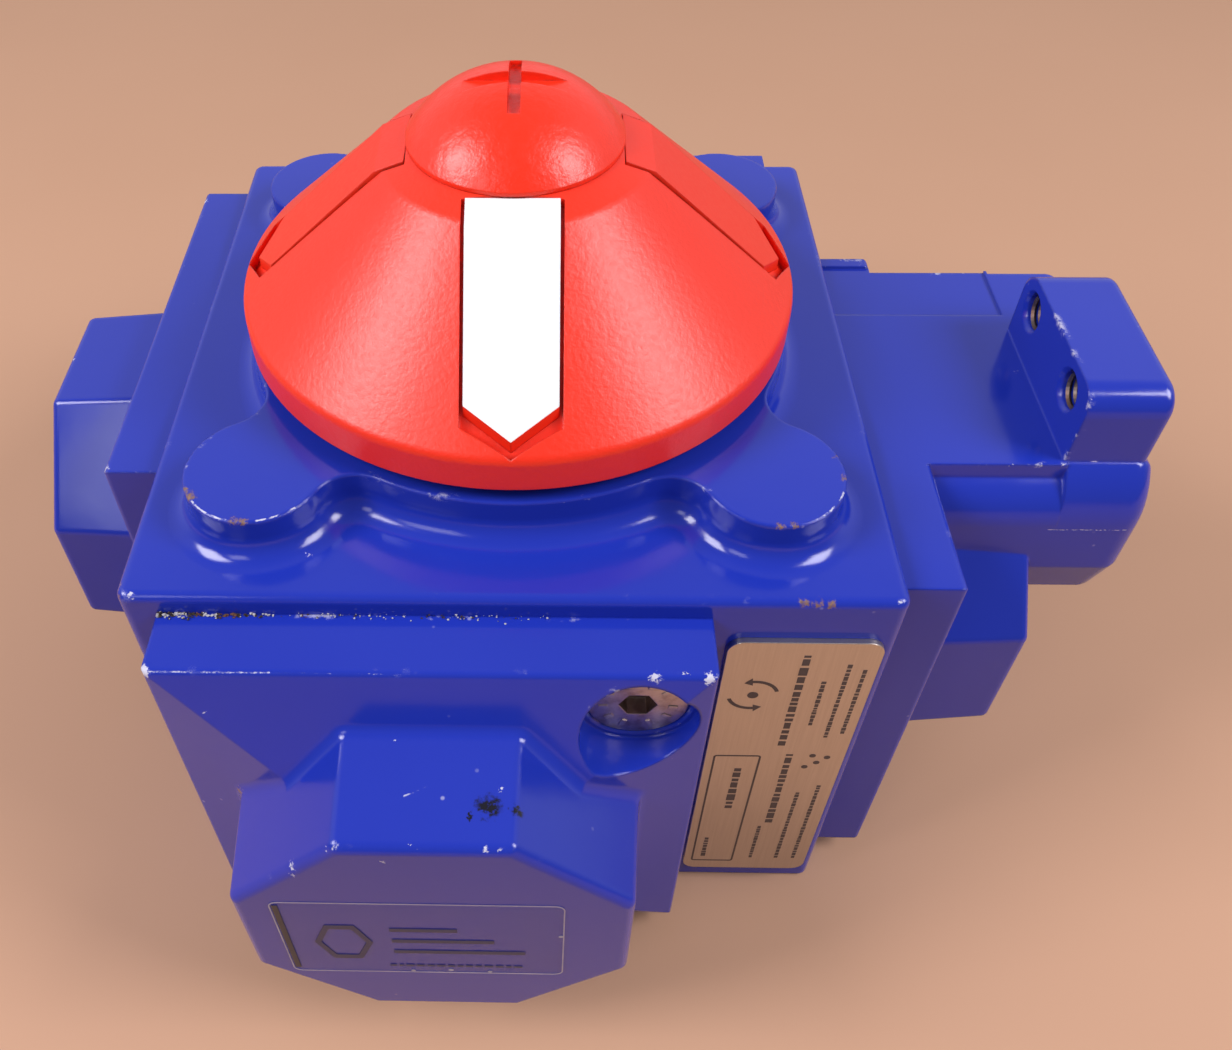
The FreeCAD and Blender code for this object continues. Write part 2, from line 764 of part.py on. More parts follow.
def front_strip(upper, lower, half_width):
    """Strip along the front slope between two sunk lines, as wide as the slot."""
    outline = upper + lower[::-1]
    corners = [Vector(-half_width, -r, z) for r, z in outline]
    return Part.Face(Part.makePolygon(corners + corners[:1])).extrude(Vector(2 * half_width, 0, 0))


def arrow_prism(half_width, start, shoulder, tip):
    """Upright prism over an arrow that points to the front, from under the cap's rim."""
    corners = [
        Vector(-half_width, -start, 70),
        Vector(half_width, -start, 70),
        Vector(half_width, -shoulder, 70),
        Vector(0, -tip, 70),
        Vector(-half_width, -shoulder, 70),
    ]
    return Part.Face(Part.makePolygon(corners + corners[:1])).extrude(UP * 50)


def make_slot():
    tall = [(r + 20, z + 20) for r, z in sunk_line(0)]
    strip = front_strip(tall, sunk_line(slot_floor_depth), slot_half_width)
    return strip.common(arrow_prism(slot_half_width, cap_radius - 0.3, slot_shoulder, slot_tip))


def make_insert():
    strip = front_strip(sunk_line(insert_sink), sunk_line(slot_floor_depth - 0.03), insert_half_width)
    return strip.common(arrow_prism(insert_half_width, cap_radius - 0.2, insert_shoulder, insert_tip))


def make_indicator_cone():
    inner_low, inner_bend, inner_top = sunk_line(cone_wall)
    ceiling = indicator_web_bottom
    share = (ceiling - inner_bend[1]) / (inner_low[1] - inner_bend[1])
    inner_at_ceiling = inner_bend[0] + share * (inner_low[0] - inner_bend[0])
    inner_rim = rim_radius - cone_wall
    share = (inner_rim - inner_bend[0]) / (inner_low[0] - inner_bend[0])
    inner_rim_top = inner_bend[1] + share * (inner_low[1] - inner_bend[1])
    shell = spun([
        (0, ceiling),
        (inner_at_ceiling, ceiling),
        (inner_rim, inner_rim_top),
        (inner_rim, rim_bottom),
        (rim_radius, rim_bottom),
        (rim_radius, rim_top),
        (shoulder_radius, shoulder_height),
        (cap_radius, cap_seat),
        (0, cap_seat),
    ])
    shell = round_edges(shell, rim_edge_radius, lambda edge: lies_at(edge, "Z", rim_top))
    shell = round_edges(shell, 1.6, lambda edge: lies_at(edge, "Z", shoulder_height))
    hub = post(indicator_hub_radius, indicator_hub_bottom, ceiling + 1)
    fit_gap = 0.1
    cuts = [
        flatted_post(shaft_end_radius + fit_gap, shaft_end_flats + 2 * fit_gap,
                     indicator_hub_bottom - 1, ceiling),
        post(screw_radius + 0.3, ceiling - 1, indicator_web_top + 1),
        post(indicator_well_radius, indicator_web_top, cap_seat + 1),
    ]
    cuts += [quarter(make_slot(), turns) for turns in range(4)]
    return shell.fuse(hub).cut(cuts)


def make_indicator_cap():
    """Domed cap with a cross slot and a snap ring underneath."""
    underside = cap_seat + 0.05
    rise = cap_top - underside - cap_rim
    sphere_radius = (cap_radius ** 2 + rise ** 2) / (2 * rise)
    dome = Part.makeSphere(sphere_radius, Vector(0, 0, cap_top - sphere_radius))
    dome = dome.common(post(cap_radius, underside, cap_top + 1))
    snap = ring(cap_snap_outer, cap_snap_inner, cap_seat - cap_snap_length, underside + 0.5)
    slots = [box((-x, -y, cap_top - depth), (x, y, cap_top + 1))
             for x, y, depth in (cap_slot_long, cap_slot_wide)]
    return dome.cut(slots).fuse(snap)


def make_indicator_screw():
    """M6 pan head screw down into the shaft end."""
    head_bottom = indicator_web_top
    head_top = head_bottom + indicator_screw_height
    head = post(indicator_screw_head, head_bottom, head_top)
    head = round_edges(head, 1.0, lambda edge: lies_at(edge, "Z", head_top))
    shank = post(screw_radius, head_bottom - indicator_screw_length, head_bottom)
    key_depth = 1.8
    key = hexagon_prism(screw_key, Vector(0, 0, 0), key_depth + 1, Vector(0, 1, 0))
    key.rotate(Vector(0, 0, 0), Vector(1, 0, 0), 90)
    key.translate(Vector(0, 0, head_top - key_depth))
    return head.fuse(shank).cut(key)


# ---- plates ----

def make_nameplate():
    plate = box((nameplate_left, -body_half - nameplate_thickness, nameplate_bottom),
                (nameplate_right, -body_half, nameplate_top))
    return round_edges(plate, nameplate_corner, lambda edge: edge.BoundBox.YLength > 0.5
                       and edge.BoundBox.XLength < 0.01 and edge.BoundBox.ZLength < 0.01)


def make_cover_label():
    face_y = -body_half - boss_face
    film = box((label_left, face_y - label_thickness, label_bottom), (label_right, face_y, label_top))
    return round_edges(film, 1.2, lambda edge: edge.BoundBox.YLength > 0.05
                       and edge.BoundBox.XLength < 0.01 and edge.BoundBox.ZLength < 0.01)


# ---- the assembly ----

def export_housing():
    export("body", make_body())
    blank = make_cover_blank()
    plain_cover = finish_cover(blank, 1)
    seal = make_cover_seal()
    covers = {"front": 0, "manifold": manifold_turns, "rear": 2, "left": 3}
    for side, turns in covers.items():
        has_manifold = side == "manifold"
        cover = make_manifold_cover(blank) if has_manifold else plain_cover
        export(side + "_cover", quarter(cover, turns))
        export(side + "_cover_screws", quarter(make_cover_screws(-1 if has_manifold else 1), turns))
        export(side + "_cover_seal", quarter(seal, turns))
    export("lower_bush", ring(lower_journal_radius + bush_wall, lower_journal_radius + running_gap,
                              lower_bush_bottom, lower_bush_top))
    export("upper_bush", ring(upper_journal_radius + bush_wall, upper_journal_radius + running_gap,
                              chamber_top, upper_bush_top))
    export("thrust_washer", ring(thrust_washer_radius, upper_journal_radius + 0.1, flange_top,
                                 flange_top + thrust_washer_thickness))
    export("nameplate", make_nameplate())
    export("cover_label", make_cover_label())


def export_pistons():
    upper_piston = make_piston(1)
    lower_piston = make_piston(-1)
    seal = make_piston_seal()
    band = make_guide_band()
    for turns, side in enumerate(("front", "right", "rear", "left")):
        piston = upper_piston if turns % 2 == 0 else lower_piston
        export(side + "_piston", quarter(piston, turns))
        export(side + "_piston_seal", quarter(seal, turns))
        export(side + "_guide_band", quarter(band, turns))


def export_shaft():
    export("drive_pinion", make_drive_pinion())
    export("lower_shaft_seal", Part.makeTorus(lower_seal_radius, lower_seal_wire / 2,
                                              Vector(0, 0, lower_seal_height), UP))
    export("upper_shaft_seal", Part.makeTorus(upper_seal_radius, upper_seal_wire / 2,
                                              Vector(0, 0, upper_seal_height), UP))
    export("retaining_ring", make_retaining_ring())
    export("indicator_cone", make_indicator_cone())
    export("indicator_cap", make_indicator_cap())
    export("indicator_screw", make_indicator_screw())
    insert = make_insert()
    for turns, name in enumerate(("front_arrow", "right_insert", "rear_arrow", "left_insert")):
        export(name, quarter(insert, turns))


os.makedirs("parts", exist_ok=True)
export_housing()
export_shaft()
export_pistons()
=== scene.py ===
import math
import random

import bmesh
import bpy
from mathutils import Matrix, Vector


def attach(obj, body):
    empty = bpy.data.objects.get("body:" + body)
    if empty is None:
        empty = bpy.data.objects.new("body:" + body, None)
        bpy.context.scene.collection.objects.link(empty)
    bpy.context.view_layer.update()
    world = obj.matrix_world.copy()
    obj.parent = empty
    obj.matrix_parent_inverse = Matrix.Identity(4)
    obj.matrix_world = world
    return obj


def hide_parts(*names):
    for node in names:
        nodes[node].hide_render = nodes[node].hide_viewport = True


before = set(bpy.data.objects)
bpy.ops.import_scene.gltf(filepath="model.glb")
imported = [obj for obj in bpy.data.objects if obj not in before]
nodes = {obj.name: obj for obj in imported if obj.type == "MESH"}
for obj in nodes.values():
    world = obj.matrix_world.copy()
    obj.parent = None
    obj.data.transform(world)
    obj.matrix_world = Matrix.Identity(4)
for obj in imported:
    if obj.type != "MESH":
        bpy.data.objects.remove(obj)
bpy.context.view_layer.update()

MM = 0.001
dice = random.Random(11)


# ---- marks, millimetres: spots are (x, y, z, radius), strokes (start, end, half width) ----

front_chips = [
    (-19.0, -70.5, 60.6, 0.85), (-20.0, -70.6, 59.5, 0.55), (-24.3, -70.3, 55.3, 0.7),
    (-10.1, -70.5, 60.6, 0.5), (-13.7, -70.7, 57.8, 0.3), (-13.1, -57.7, 61.0, 0.35),
    (-2.1, -70.7, 60.5, 0.65), (-0.4, -70.7, 60.5, 0.7), (1.3, -70.6, 60.4, 0.6),
    (-0.8, -63.4, 60.6, 0.35), (-41.2, -54.0, 68.8, 0.9), (16.3, -54.0, 68.8, 0.75),
    (19.7, -53.6, 69.0, 0.3), (22.5, -54.0, 68.8, 0.8), (-23.9, -70.3, 53.7, 0.5),
]
front_scratches = [
    ((-11.5, -64.5, 60.6), (-8.2, -63.0, 60.6), 0.18), ((-35.2, -56.0, 63.5), (-32.3, -56.0, 65.0), 0.12),
    ((-20.0, -58.0, 67.0), (-18.0, -58.0, 68.0), 0.1), ((-12.0, -58.0, 69.0), (-10.0, -58.0, 70.0), 0.1),
    ((-41.4, -54.0, 68.9), (-27.0, -54.0, 68.9), 0.16), ((-24.0, -54.0, 68.9), (-14.0, -54.0, 68.9), 0.1),
    ((15.6, -56.9, 27.0), (15.6, -56.9, 46.4), 0.14), ((-20.6, -70.6, 60.4), (-16.5, -70.6, 60.6), 0.16),
    ((-3.2, -70.6, 60.5), (2.6, -70.6, 60.4), 0.18),
]
front_grime = [(-2.1, -65.7, 60.6, 1.7), (1.3, -66.0, 60.6, 1.0), (-4.1, -66.7, 60.6, 0.45)]
front_rust = [(-33.8, -57.0, 47.0, 0.8)]
body_chips = [
    (-44.1, -45.8, 72.0, 0.6), (-45.8, -46.0, 70.7, 0.5), (44.6, -45.9, 72.0, 0.5), (3.9, -35.6, 72.0, 0.25),
    (-24.2, -39.6, 72.2, 0.3),
]
body_scratches = [
    ((-44.5, -46.0, 71.6), (-33.8, -46.0, 71.6), 0.14), ((39.3, -46.0, 71.6), (44.9, -46.0, 71.6), 0.14),
]
body_rust = [
    (-46.2, -44.2, 72.0, 0.9), (-45.9, -45.9, 71.5, 1.0), (33.6, -46.0, 71.9, 0.8), (35.2, -46.0, 71.9, 0.9),
    (36.8, -46.0, 71.9, 0.8),
]


def on_lobe(side, angle):
    """Point on the rim of a front lobe, side 1 on the right, angle in degrees."""
    reach, rim, top = 31.0, 8.5, 78.0
    around = math.radians(angle)
    return side * reach + rim * math.cos(around), -reach + rim * math.sin(around), top


# rust spots (side, angle, radius) and worn arcs (side, first angle, last angle) on the front lobes' rims
lobe_rust = [
    (-1, 205, 0.7), (-1, 214, 1.0), (-1, 263, 0.9), (-1, 270, 0.7), (1, 18, 0.6), (1, -5, 0.7), (1, -92, 0.6),
    (1, -80, 0.6),
]
lobe_wear = [(-1, 220, 258), (-1, 280, 312), (1, -62, -22)]
wear_step = 8
wear_half_width = 0.17
for side, angle, radius in lobe_rust:
    body_rust.append((*on_lobe(side, angle), radius))
for side, first, last in lobe_wear:
    for angle in range(first, last, wear_step):
        after = min(angle + wear_step, last)
        body_scratches.append((on_lobe(side, angle), on_lobe(side, after), wear_half_width))
manifold_chips = [
    (71.7, -19.6, 79.6, 0.45), (73.4, -19.6, 80.2, 0.35), (80.7, -19.5, 80.0, 0.5), (64.6, -21.0, 69.0, 0.3),
    (68.3, -21.0, 69.0, 0.3), (71.5, -21.0, 69.0, 0.35), (70.0, -2.9, 69.0, 0.25), (54.0, -16.5, 63.4, 0.25),
]
manifold_scratches = [
    ((74.9, -20.2, 69.0), (76.1, -20.2, 69.0), 0.18), ((71.0, -24.4, 60.0), (83.0, -24.4, 60.0), 0.1),
]
left_chips = [(-70.4, 8.6, 60.4, 0.6), (-54.0, -22.6, 68.9, 0.6), (-54.0, 39.5, 68.7, 0.6)]


# ---- node helpers ----

def add(tree, kind, inputs=None, **settings):
    """A shader node with its settings, and its inputs linked or set."""
    made = tree.nodes.new("ShaderNode" + kind)
    for name, value in settings.items():
        setattr(made, name, value)
    for name, value in (inputs or {}).items():
        if isinstance(value, bpy.types.NodeSocket):
            tree.links.new(value, made.inputs[name])
        else:
            made.inputs[name].default_value = value
    return made


def math_node(tree, operation, first, second=0.0, clamp=False):
    """Result of a math node, clamped to 0..1 if asked."""
    made = add(tree, "Math", {0: first, 1: second}, operation=operation)
    made.use_clamp = clamp
    return made.outputs[0]


def ramp(tree, value, low, high):
    """0 at low, 1 at high, smooth between."""
    made = add(tree, "MapRange", {"Value": value, "From Min": low, "From Max": high},
               interpolation_type="SMOOTHSTEP")
    return made.outputs["Result"]


def mix_color(tree, share, first, second):
    made = add(tree, "Mix", data_type="RGBA")
    share_socket, first_socket, second_socket = (made.inputs[number] for number in (0, 6, 7))
    for socket, value in ((share_socket, share), (first_socket, first), (second_socket, second)):
        if isinstance(value, bpy.types.NodeSocket):
            tree.links.new(value, socket)
        else:
            socket.default_value = value
    return made.outputs[2]


def mix_number(tree, share, first, second):
    made = add(tree, "Mix", {0: share, 2: first, 3: second}, data_type="FLOAT")
    return made.outputs[0]


def noise(tree, place, scale, detail=2.0, roughness=0.5):
    made = add(tree, "TexNoise", {"Vector": place, "Scale": scale, "Detail": detail, "Roughness": roughness})
    return made.outputs["Fac"]


node_samples = 6


def start_material(name):
    """New material: its tree, its Principled shader and the object coordinates."""
    material = bpy.data.materials.new(name)
    material.use_nodes = True
    tree = material.node_tree
    shader = tree.nodes["Principled BSDF"]
    place = add(tree, "TexCoord").outputs["Object"]
    return material, tree, shader, place


def bumped(tree, shader, heights, bevel=0.0):
    """Chains bumps of (height, metres) on the shader's normal, over softened edges."""
    normal = add(tree, "Bevel", {"Radius": bevel}, samples=node_samples).outputs[0] if bevel else None
    for height, distance in heights:
        inputs = {"Height": height, "Distance": distance, "Strength": 1.0}
        if normal is not None:
            inputs["Normal"] = normal
        normal = add(tree, "Bump", inputs).outputs[0]
    tree.links.new(normal, shader.inputs["Normal"])


def torn(tree, place, reach):
    """Coordinates shaken by noise, so that marks laid out in them get ragged outlines."""
    shake = add(tree, "TexNoise", {"Vector": place, "Scale": 1300.0, "Detail": 3.0, "Roughness": 0.7})
    middle = (0.5, 0.5, 0.5)
    centered = add(tree, "VectorMath", {0: shake.outputs["Color"], 1: middle}, operation="SUBTRACT")
    moved = add(tree, "VectorMath", {0: centered.outputs[0], "Scale": reach * MM}, operation="SCALE")
    return add(tree, "VectorMath", {0: place, 1: moved.outputs[0]}, operation="ADD").outputs[0]


def union(tree, masks):
    """The strongest of some masks at each point."""
    whole = masks[0]
    for mask in masks[1:]:
        whole = math_node(tree, "MAXIMUM", whole, mask)
    return whole


def spots(tree, place, places, soft=0.6):
    """Mask of round spots."""
    masks = []
    for x, y, z, radius in places:
        gap = add(tree, "VectorMath", {0: place, 1: (x * MM, y * MM, z * MM)}, operation="DISTANCE")
        masks.append(ramp(tree, gap.outputs["Value"], radius * MM, radius * soft * MM))
    return union(tree, masks)


def strokes(tree, place, lines):
    """Mask of straight strokes, each fading out from its middle line."""
    soft = 0.3
    masks = []
    for start, end, half_width in lines:
        run = (Vector(end) - Vector(start)) * MM
        offset = add(tree, "VectorMath", {0: place, 1: Vector(start) * MM}, operation="SUBTRACT").outputs[0]
        share = add(tree, "VectorMath", {0: offset, 1: run / run.length_squared}, operation="DOT_PRODUCT")
        share = math_node(tree, "ADD", share.outputs["Value"], 0.0, clamp=True)
        nearest = add(tree, "VectorMath", {0: run, "Scale": share}, operation="SCALE").outputs[0]
        gap = add(tree, "VectorMath", {0: offset, 1: nearest}, operation="DISTANCE").outputs["Value"]
        masks.append(ramp(tree, gap, half_width * MM, half_width * soft * MM))
    return union(tree, masks)


# ---- materials ----

def blue_paint(name, chips=(), scratches=(), rust=(), grime=()):
    """Gloss enamel over cast metal: slight orange peel, worn edges, chips, rust stains and dust."""
    material, tree, shader, place = start_material(name)
    broad = noise(tree, place, 28.0, 3.0)
    fine = noise(tree, place, 900.0, 3.0, 0.6)
    rough = noise(tree, place, 160.0, 4.0, 0.65)
    color = mix_color(tree, broad, (0.010, 0.026, 0.345, 1), (0.014, 0.034, 0.40, 1))

    # worn outer edges
    inside = add(tree, "AmbientOcclusion", {"Distance": 1.1 * MM}, samples=node_samples, inside=True,
                 only_local=True)
    edge = ramp(tree, inside.outputs["AO"], 0.86, 0.60)
    patchy = ramp(tree, math_node(tree, "ADD", rough, math_node(tree, "MULTIPLY", fine, 0.35)), 0.80, 0.90)
    worn = math_node(tree, "MULTIPLY", edge, patchy)

    # specks of dust and small nicks
    cells = add(tree, "TexVoronoi", {"Vector": place, "Scale": 260.0, "Randomness": 1.0})
    speck = ramp(tree, cells.outputs["Distance"], 0.085, 0.03)
    chosen = ramp(tree, noise(tree, place, 61.0, 2.0), 0.55, 0.70)
    speck = math_node(tree, "MULTIPLY", speck, math_node(tree, "MULTIPLY", chosen, 0.45))

    shaken = torn(tree, place, 2.4)
    bare_masks = [worn, speck]
    if chips:
        bare_masks.append(spots(tree, shaken, chips))
    if scratches:
        broken = ramp(tree, fine, 0.42, 0.58)
        lines = strokes(tree, torn(tree, place, 0.35), scratches)
        bare_masks.append(math_node(tree, "MULTIPLY", lines, broken))
    bare = union(tree, bare_masks)
    chip_shade = noise(tree, place, 480.0, 3.0)
    chip_color = mix_color(tree, chip_shade, (0.32, 0.33, 0.52, 1), (0.74, 0.74, 0.82, 1))
    color = mix_color(tree, bare, color, chip_color)
    if rust:
        stain = math_node(tree, "MULTIPLY", spots(tree, shaken, rust, 0.3), ramp(tree, fine, 0.30, 0.50))
        rust_shade = noise(tree, place, 1600.0, 3.0)
        rust_color = mix_color(tree, rust_shade, (0.05, 0.018, 0.010, 1), (0.34, 0.20, 0.13, 1))
        color = mix_color(tree, stain, color, rust_color)
        bare = math_node(tree, "MAXIMUM", bare, stain)
    if grime:
        dark = math_node(tree, "MULTIPLY", spots(tree, shaken, grime, 0.5), ramp(tree, fine, 0.38, 0.50))
        color = mix_color(tree, dark, color, (0.006, 0.006, 0.012, 1))

    tree.links.new(color, shader.inputs["Base Color"])
    gloss = mix_number(tree, rough, 0.08, 0.20)
    bare_roughness = 0.5
    tree.links.new(mix_number(tree, bare, gloss, bare_roughness), shader.inputs["Roughness"])
    shader.inputs["IOR"].default_value = 1.5
    peel = noise(tree, place, 420.0, 3.0, 0.6)
    lumps = noise(tree, place, 75.0, 2.0, 0.5)
    bumped(tree, shader, [(lumps, 0.04 * MM), (peel, 0.008 * MM), (bare, -0.03 * MM)], 0.5 * MM)
    return material


roughness_spread = 0.08


def moulded_plastic(name, light, deep, roughness, grain, depth, dirt=(), crevice_shade=0.0, painted=None):
    """Moulded plastic with a fine grain, spots of dirt, painted shade darkening its crevices and perhaps paint
    on the faces that look up.
    """
    material, tree, shader, place = start_material(name)
    broad = noise(tree, place, 45.0, 3.0)
    color = mix_color(tree, broad, (*deep, 1), (*light, 1))
    if painted:
        facing = add(tree, "TexCoord").outputs["Normal"]
        upward = ramp(tree, add(tree, "SeparateXYZ", {0: facing}).outputs["Z"], 0.35, 0.5)
        shaded = [channel * 0.93 for channel in painted]
        paint = mix_color(tree, broad, (*shaded, 1), (*painted, 1))
        color = mix_color(tree, upward, color, paint)
    # painted shade: the plastic turns dark brown where ambient occlusion finds crevices, broken up by noise
    if crevice_shade:
        around = add(tree, "AmbientOcclusion", {"Distance": 0.9 * MM}, samples=node_samples)
        crevice_shade_mask = math_node(tree, "MULTIPLY", ramp(tree, around.outputs["AO"], 0.62, 0.30),
                            ramp(tree, noise(tree, place, 420.0, 4.0, 0.7), 0.42, 0.62))
        color = mix_color(tree, math_node(tree, "MULTIPLY", crevice_shade_mask, crevice_shade), color, (0.05, 0.020, 0.014, 1))
    if dirt:
        dark = spots(tree, torn(tree, place, 1.0), dirt)
        color = mix_color(tree, dark, color, (0.015, 0.010, 0.010, 1))
    tree.links.new(color, shader.inputs["Base Color"])
    pits = noise(tree, place, grain, 3.0, 0.6)
    finish = mix_number(tree, pits, roughness - roughness_spread, roughness + roughness_spread)
    tree.links.new(finish, shader.inputs["Roughness"])
    shader.inputs["IOR"].default_value = 1.5
    bumped(tree, shader, [(pits, depth * MM), (noise(tree, place, 110.0, 2.0), 0.05 * MM)], 0.25 * MM)
    return material


def turned_metal(name, light, dark, roughness, axis, brown=0.0):
    """Machined metal with fine rings about an axis through the origin, stained brown in places."""
    material, tree, shader, place = start_material(name)
    keep = [0.0 if letter == axis else 1.0 for letter in "XYZ"]
    flat = add(tree, "VectorMath", {0: place, 1: keep}, operation="MULTIPLY").outputs[0]
    radius = add(tree, "VectorMath", {0: flat}, operation="LENGTH").outputs["Value"]
    ringed = add(tree, "CombineXYZ", {0: radius}).outputs[0]
    rings = noise(tree, ringed, 5200.0, 4.0, 0.7)
    stain = noise(tree, place, 420.0, 4.0, 0.6)
    color = mix_color(tree, rings, (*dark, 1), (*light, 1))
    if brown:
        browned = math_node(tree, "MULTIPLY", ramp(tree, stain, 0.4, 0.65), brown)
        color = mix_color(tree, browned, color, (0.16, 0.085, 0.05, 1))
    tree.links.new(color, shader.inputs["Base Color"])
    shader.inputs["Metallic"].default_value = 1.0
    tree.links.new(mix_number(tree, stain, roughness - 0.07, roughness + 0.10), shader.inputs["Roughness"])
    bumped(tree, shader, [(rings, 0.004 * MM), (stain, 0.01 * MM)], 0.15 * MM)
    return material


def rubber(name):
    """Dull black rubber with a little bloom."""
    material, tree, shader, place = start_material(name)
    bloom = noise(tree, place, 260.0, 3.0)
    tree.links.new(mix_color(tree, bloom, (0.012, 0.012, 0.013, 1), (0.03, 0.03, 0.032, 1)),
                   shader.inputs["Base Color"])
    tree.links.new(mix_number(tree, bloom, 0.45, 0.62), shader.inputs["Roughness"])
    bumped(tree, shader, [(noise(tree, place, 1500.0, 3.0), 0.01 * MM)])
    return material


def plate_metal(name):
    """Satin anodised nameplate, brushed along its height."""
    material, tree, shader, place = start_material(name)
    stretched = add(tree, "VectorMath", {0: place, 1: (1.0, 1.0, 0.02)}, operation="MULTIPLY").outputs[0]
    brush = noise(tree, stretched, 3800.0, 4.0, 0.7)
    mottle = noise(tree, place, 90.0, 3.0)
    color = mix_color(tree, brush, (0.50, 0.44, 0.38, 1), (0.66, 0.60, 0.53, 1))
    tree.links.new(color, shader.inputs["Base Color"])
    shader.inputs["Metallic"].default_value = 1.0
    tree.links.new(mix_number(tree, mottle, 0.30, 0.42), shader.inputs["Roughness"])
    bumped(tree, shader, [(brush, 0.002 * MM)], 0.2 * MM)
    return material


def clear_film(name, light, deep, thin, thick):
    """Film that shows what is under it, hazier in places."""
    material, tree, shader, place = start_material(name)
    haze = noise(tree, place, 140.0, 3.0)
    tree.links.new(mix_color(tree, haze, (*deep, 1), (*light, 1)), shader.inputs["Base Color"])
    tree.links.new(mix_number(tree, haze, thin, thick), shader.inputs["Alpha"])
    tree.links.new(mix_number(tree, haze, 0.18, 0.30), shader.inputs["Roughness"])
    bumped(tree, shader, [(haze, 0.02 * MM)])
    return material


def ink(name, color):
    """Printed ink, rubbed thin in places."""
    material, tree, shader, place = start_material(name)
    rubbed = noise(tree, place, 1800.0, 4.0, 0.7)
    lighter = [channel * 2.4 + 0.02 for channel in color]
    tree.links.new(mix_color(tree, rubbed, (*color, 1), (*lighter, 1)), shader.inputs["Base Color"])
    tree.links.new(mix_number(tree, rubbed, 0.35, 0.6), shader.inputs["Roughness"])
    return material


def crust(name, dark):
    """Grains of white corrosion, black and rusty around the dark places."""
    material, tree, shader, place = start_material(name)
    cells = add(tree, "TexVoronoi", {"Vector": place, "Scale": 1500.0})
    pick = add(tree, "SeparateColor", {0: cells.outputs["Color"]}).outputs[0]
    shade = math_node(tree, "ADD", pick, math_node(tree, "MULTIPLY", spots(tree, place, dark, 0.3), 0.55))
    color = mix_color(tree, ramp(tree, shade, 0.55, 0.62), (0.42, 0.41, 0.42, 1), (0.03, 0.018, 0.014, 1))
    color = mix_color(tree, ramp(tree, shade, 1.05, 1.15), color, (0.12, 0.045, 0.022, 1))
    tree.links.new(color, shader.inputs["Base Color"])
    shader.inputs["Roughness"].default_value = 0.85
    bumped(tree, shader, [(noise(tree, place, 3000.0, 3.0), 0.05 * MM)])
    return material


def dress(names, material):
    """Gives CAD nodes a material in place of their plain one."""
    for name in names:
        mesh = nodes[name]
        for slot in mesh.material_slots:
            slot.material = material
        if not mesh.material_slots:
            mesh.data.materials.append(material)


sides = ("front", "right", "rear", "left")
covers = ("front_cover", "manifold_cover", "rear_cover", "left_cover")
red_light, red_deep = (0.86, 0.032, 0.009), (0.80, 0.024, 0.007)
dress(["body"], blue_paint("enamel_body", body_chips, body_scratches, body_rust))
dress(["front_cover"], blue_paint("enamel_front_cover", front_chips, front_scratches, front_rust, front_grime))
dress(["manifold_cover"], blue_paint("enamel_manifold_cover", manifold_chips, manifold_scratches))
dress(["left_cover", "rear_cover"], blue_paint("enamel_side_covers", left_chips))
# the crevice amounts in these calls (0.3, 0.9, 0.7, 0.2) set how strongly painted shade darkens each part's
# crevices
dress(["indicator_cone"], moulded_plastic("cone_red", red_light, red_deep, 0.38, 1500.0, 0.055, crevice_shade=0.3))
dress(["left_insert", "right_insert"],
      moulded_plastic("insert_red", red_light, red_deep, 0.42, 1500.0, 0.03, crevice_shade=0.9))
cap_dirt = [(-5.2, 6.4, 110.5, 0.35), (-6.5, 5.2, 110.0, 0.25), (-3.6, 7.6, 110.3, 0.25),
            (2.0, 8.6, 110.0, 0.2)]
dress(["indicator_cap"], moulded_plastic("cap_red", red_light, red_deep, 0.33, 900.0, 0.10, cap_dirt, 0.7))
arrow_dirt = [(3.7, -16.2, 102.6, 0.35), (3.9, -17.2, 101.9, 0.4), (3.7, -18.3, 101.0, 0.3)]
dress(["front_arrow", "rear_arrow"],
      moulded_plastic("arrow_white", red_light, red_deep, 0.45, 1500.0, 0.006, arrow_dirt, 0.2,
                      (0.86, 0.86, 0.88)))
for index, cover in enumerate(covers):
    axis = "Y" if index % 2 == 0 else "X"
    dress([cover + "_screws"],
          turned_metal(cover + "_screw_steel", (0.66, 0.58, 0.54), (0.46, 0.38, 0.34), 0.36, axis, brown=0.5))
dress([cover + "_seal" for cover in covers], rubber("seal_rubber"))
dress([side + "_piston_seal" for side in sides] + ["lower_shaft_seal", "upper_shaft_seal"],
      rubber("ring_rubber"))
dress([side + "_piston" for side in sides],
      turned_metal("piston_alloy", (0.78, 0.78, 0.80), (0.62, 0.62, 0.65), 0.3, "Y"))
dress([side + "_guide_band" for side in sides] + ["lower_bush", "upper_bush", "thrust_washer"],
      moulded_plastic("bearing_plastic", (0.72, 0.68, 0.58), (0.62, 0.58, 0.49), 0.5, 1300.0, 0.01))
dress(["drive_pinion"], turned_metal("shaft_steel", (0.60, 0.60, 0.62), (0.40, 0.40, 0.42), 0.28, "Z"))
dress(["retaining_ring", "indicator_screw"],
      turned_metal("small_steel", (0.45, 0.45, 0.47), (0.26, 0.26, 0.28), 0.35, "Z"))
dress(["nameplate"], plate_metal("nameplate_satin"))


# ---- small pieces that ride on the housing ----

def piece(name, mesh_data, material):
    """New object from a bmesh, with a material, riding on the housing."""
    bmesh.ops.recalc_face_normals(mesh_data, faces=mesh_data.faces)
    mesh = bpy.data.meshes.new(name)
    mesh_data.to_mesh(mesh)
    mesh_data.free()
    mesh.materials.append(material)
    made = bpy.data.objects.new(name, mesh)
    bpy.context.scene.collection.objects.link(made)
    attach(made, "housing")
    return made


